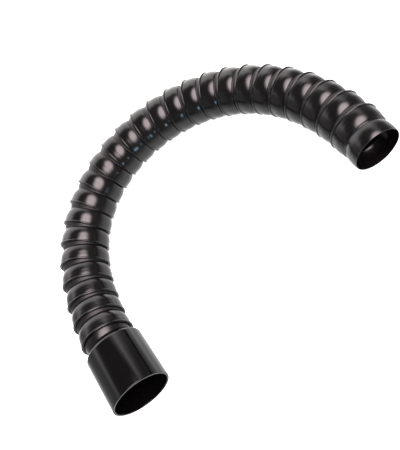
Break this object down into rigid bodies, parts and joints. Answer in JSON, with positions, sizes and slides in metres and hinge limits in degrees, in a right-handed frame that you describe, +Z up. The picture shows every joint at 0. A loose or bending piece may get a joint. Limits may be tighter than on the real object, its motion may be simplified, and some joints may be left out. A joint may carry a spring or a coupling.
{
  "type": "segmented pool vacuum hose",
  "caption": "Flexible vacuum hose made of snap-together ball-and-socket segments, bent into a U, with a swivelling push-on cuff at one end.",
  "frame": {"origin": "centre of the bounding box in plan, at the surface that the hose lies on", "axes": "+Z up from that surface; the U of the hose opens towards -Y; the cuff is on the -X side and the free end on the +X side"},
  "size_m": [0.3466, 0.2478, 0.054],
  "materials": {
    "hose_plastic": "glossy moulded black",
    "neck_plastic": "glossy moulded black",
    "cuff_plastic": "glossy moulded black"
  },
  "bodies": {
    "cuff_neck": {"cuff_neck": "neck_plastic"},
    "cuff": {"cuff": "cuff_plastic"},
    "hose_segment_25": {"hose_segment_25": "hose_plastic"},
    "hose_segment_24": {"hose_segment_24": "hose_plastic"},
    "hose_segment_23": {"hose_segment_23": "hose_plastic"},
    "hose_segment_22": {"hose_segment_22": "hose_plastic"},
    "hose_segment_21": {"hose_segment_21": "hose_plastic"},
    "hose_segment_20": {"hose_segment_20": "hose_plastic"},
    "hose_segment_19": {"hose_segment_19": "hose_plastic"},
    "hose_segment_18": {"hose_segment_18": "hose_plastic"},
    "hose_segment_17": {"hose_segment_17": "hose_plastic"},
    "hose_segment_16": {"hose_segment_16": "hose_plastic"},
    "hose_segment_15": {"hose_segment_15": "hose_plastic"},
    "hose_segment_14": {"hose_segment_14": "hose_plastic"},
    "hose_segment_13": {"hose_segment_13": "hose_plastic"},
    "hose_segment_12": {"hose_segment_12": "hose_plastic"},
    "hose_segment_11": {"hose_segment_11": "hose_plastic"},
    "hose_segment_10": {"hose_segment_10": "hose_plastic"},
    "hose_segment_09": {"hose_segment_09": "hose_plastic"},
    "hose_segment_08": {"hose_segment_08": "hose_plastic"},
    "hose_segment_07": {"hose_segment_07": "hose_plastic"},
    "hose_segment_06": {"hose_segment_06": "hose_plastic"},
    "hose_segment_05": {"hose_segment_05": "hose_plastic"},
    "hose_segment_04": {"hose_segment_04": "hose_plastic"},
    "hose_segment_03": {"hose_segment_03": "hose_plastic"},
    "hose_segment_02": {"hose_segment_02": "hose_plastic"},
    "hose_segment_01": {"hose_segment_01": "hose_plastic"}
  },
  "joints": [
    {"name": "cuff_swivel", "type": "hinge", "parent": "cuff_neck", "child": "cuff", "pos_m": [-0.14518, -0.08418, 0.027], "axis": [-0.0419, -0.9991, 0], "continuous": true},
    {"name": "hose_bend_25", "type": "hinge", "parent": "cuff_neck", "child": "hose_segment_25", "pos_m": [-0.14351, -0.04421, 0.027], "axis": [0, 0, -1], "range_deg": [-15.6, 5.6]},
    {"name": "hose_bend_24", "type": "hinge", "parent": "hose_segment_25", "child": "hose_segment_24", "pos_m": [-0.14084, -0.02365, 0.02605], "axis": [0, 0, -1], "range_deg": [-16, 6]},
    {"name": "hose_bend_23", "type": "hinge", "parent": "hose_segment_24", "child": "hose_segment_23", "pos_m": [-0.13638, -0.00339, 0.0251], "axis": [0, 0, -1], "range_deg": [-16.73, 4.47]},
    {"name": "hose_bend_22", "type": "hinge", "parent": "hose_segment_23", "child": "hose_segment_22", "pos_m": [-0.12979, 0.01629, 0.0251], "axis": [0, 0, -1], "range_deg": [-18.25, 3.75]},
    {"name": "hose_bend_21", "type": "hinge", "parent": "hose_segment_22", "child": "hose_segment_21", "pos_m": [-0.12076, 0.03498, 0.0251], "axis": [0, 0, -1], "range_deg": [-19.38, 2.62]},
    {"name": "hose_bend_20", "type": "hinge", "parent": "hose_segment_21", "child": "hose_segment_20", "pos_m": [-0.10911, 0.05216, 0.0251], "axis": [0, 0, -1], "range_deg": [-20.5, 1.5]},
    {"name": "hose_bend_19", "type": "hinge", "parent": "hose_segment_20", "child": "hose_segment_19", "pos_m": [-0.09478, 0.06718, 0.0251], "axis": [0, 0, -1], "range_deg": [-20.5, 1.5]},
    {"name": "hose_bend_18", "type": "hinge", "parent": "hose_segment_19", "child": "hose_segment_18", "pos_m": [-0.07816, 0.07963, 0.0251], "axis": [0, 0, -1], "range_deg": [-20.5, 1.5]},
    {"name": "hose_bend_17", "type": "hinge", "parent": "hose_segment_18", "child": "hose_segment_17", "pos_m": [-0.05973, 0.08917, 0.0251], "axis": [0, 0, -1], "range_deg": [-20.5, 1.5]},
    {"name": "hose_bend_16", "type": "hinge", "parent": "hose_segment_17", "child": "hose_segment_16", "pos_m": [-0.03997, 0.09553, 0.0251], "axis": [0, 0, -1], "range_deg": [-20.5, 1.5]},
    {"name": "hose_bend_15", "type": "hinge", "parent": "hose_segment_16", "child": "hose_segment_15", "pos_m": [-0.01943, 0.09855, 0.0251], "axis": [0, 0, -1], "range_deg": [-19.55, 2.45]},
    {"name": "hose_bend_14", "type": "hinge", "parent": "hose_segment_15", "child": "hose_segment_14", "pos_m": [0.00133, 0.09848, 0.0251], "axis": [0, 0, -1], "range_deg": [-18.6, 3.4]},
    {"name": "hose_bend_13", "type": "hinge", "parent": "hose_segment_14", "child": "hose_segment_13", "pos_m": [0.0219, 0.09566, 0.0251], "axis": [0, 0, -1], "range_deg": [-18.6, 3.4]},
    {"name": "hose_bend_12", "type": "hinge", "parent": "hose_segment_13", "child": "hose_segment_12", "pos_m": [0.04191, 0.09015, 0.0251], "axis": [0, 0, -1], "range_deg": [-18.6, 3.4]},
    {"name": "hose_bend_11", "type": "hinge", "parent": "hose_segment_12", "child": "hose_segment_11", "pos_m": [0.06102, 0.08204, 0.0251], "axis": [0, 0, -1], "range_deg": [-18.6, 3.4]},
    {"name": "hose_bend_10", "type": "hinge", "parent": "hose_segment_11", "child": "hose_segment_10", "pos_m": [0.07889, 0.07147, 0.0251], "axis": [0, 0, -1], "range_deg": [-18.6, 3.4]},
    {"name": "hose_bend_09", "type": "hinge", "parent": "hose_segment_10", "child": "hose_segment_09", "pos_m": [0.09521, 0.05863, 0.0251], "axis": [0, 0, -1], "range_deg": [-18.6, 3.4]},
    {"name": "hose_bend_08", "type": "hinge", "parent": "hose_segment_09", "child": "hose_segment_08", "pos_m": [0.10968, 0.04375, 0.0251], "axis": [0, 0, -1], "range_deg": [-18.6, 3.4]},
    {"name": "hose_bend_07", "type": "hinge", "parent": "hose_segment_08", "child": "hose_segment_07", "pos_m": [0.12206, 0.02708, 0.0251], "axis": [0, 0, -1], "range_deg": [-18.6, 3.4]},
    {"name": "hose_bend_06", "type": "hinge", "parent": "hose_segment_07", "child": "hose_segment_06", "pos_m": [0.13212, 0.00893, 0.0251], "axis": [0, 0, -1], "range_deg": [-18.6, 3.4]},
    {"name": "hose_bend_05", "type": "hinge", "parent": "hose_segment_06", "child": "hose_segment_05", "pos_m": [0.1397, -0.0104, 0.0251], "axis": [0, 0, -1], "range_deg": [-18.16, 3.84]},
    {"name": "hose_bend_04", "type": "hinge", "parent": "hose_segment_05", "child": "hose_segment_04", "pos_m": [0.1448, -0.03053, 0.0251], "axis": [0, 0, -1], "range_deg": [-17.72, 4.28]},
    {"name": "hose_bend_03", "type": "hinge", "parent": "hose_segment_04", "child": "hose_segment_03", "pos_m": [0.14752, -0.05111, 0.0251], "axis": [0, 0, -1], "range_deg": [-17.28, 4.72]},
    {"name": "hose_bend_02", "type": "hinge", "parent": "hose_segment_03", "child": "hose_segment_02", "pos_m": [0.14797, -0.07186, 0.0251], "axis": [0, 0, -1], "range_deg": [-16.84, 5.16]},
    {"name": "hose_bend_01", "type": "hinge", "parent": "hose_segment_02", "child": "hose_segment_01", "pos_m": [0.1463, -0.09255, 0.0251], "axis": [0, 0, -1], "range_deg": [-16.4, 5.6]}
  ]
}
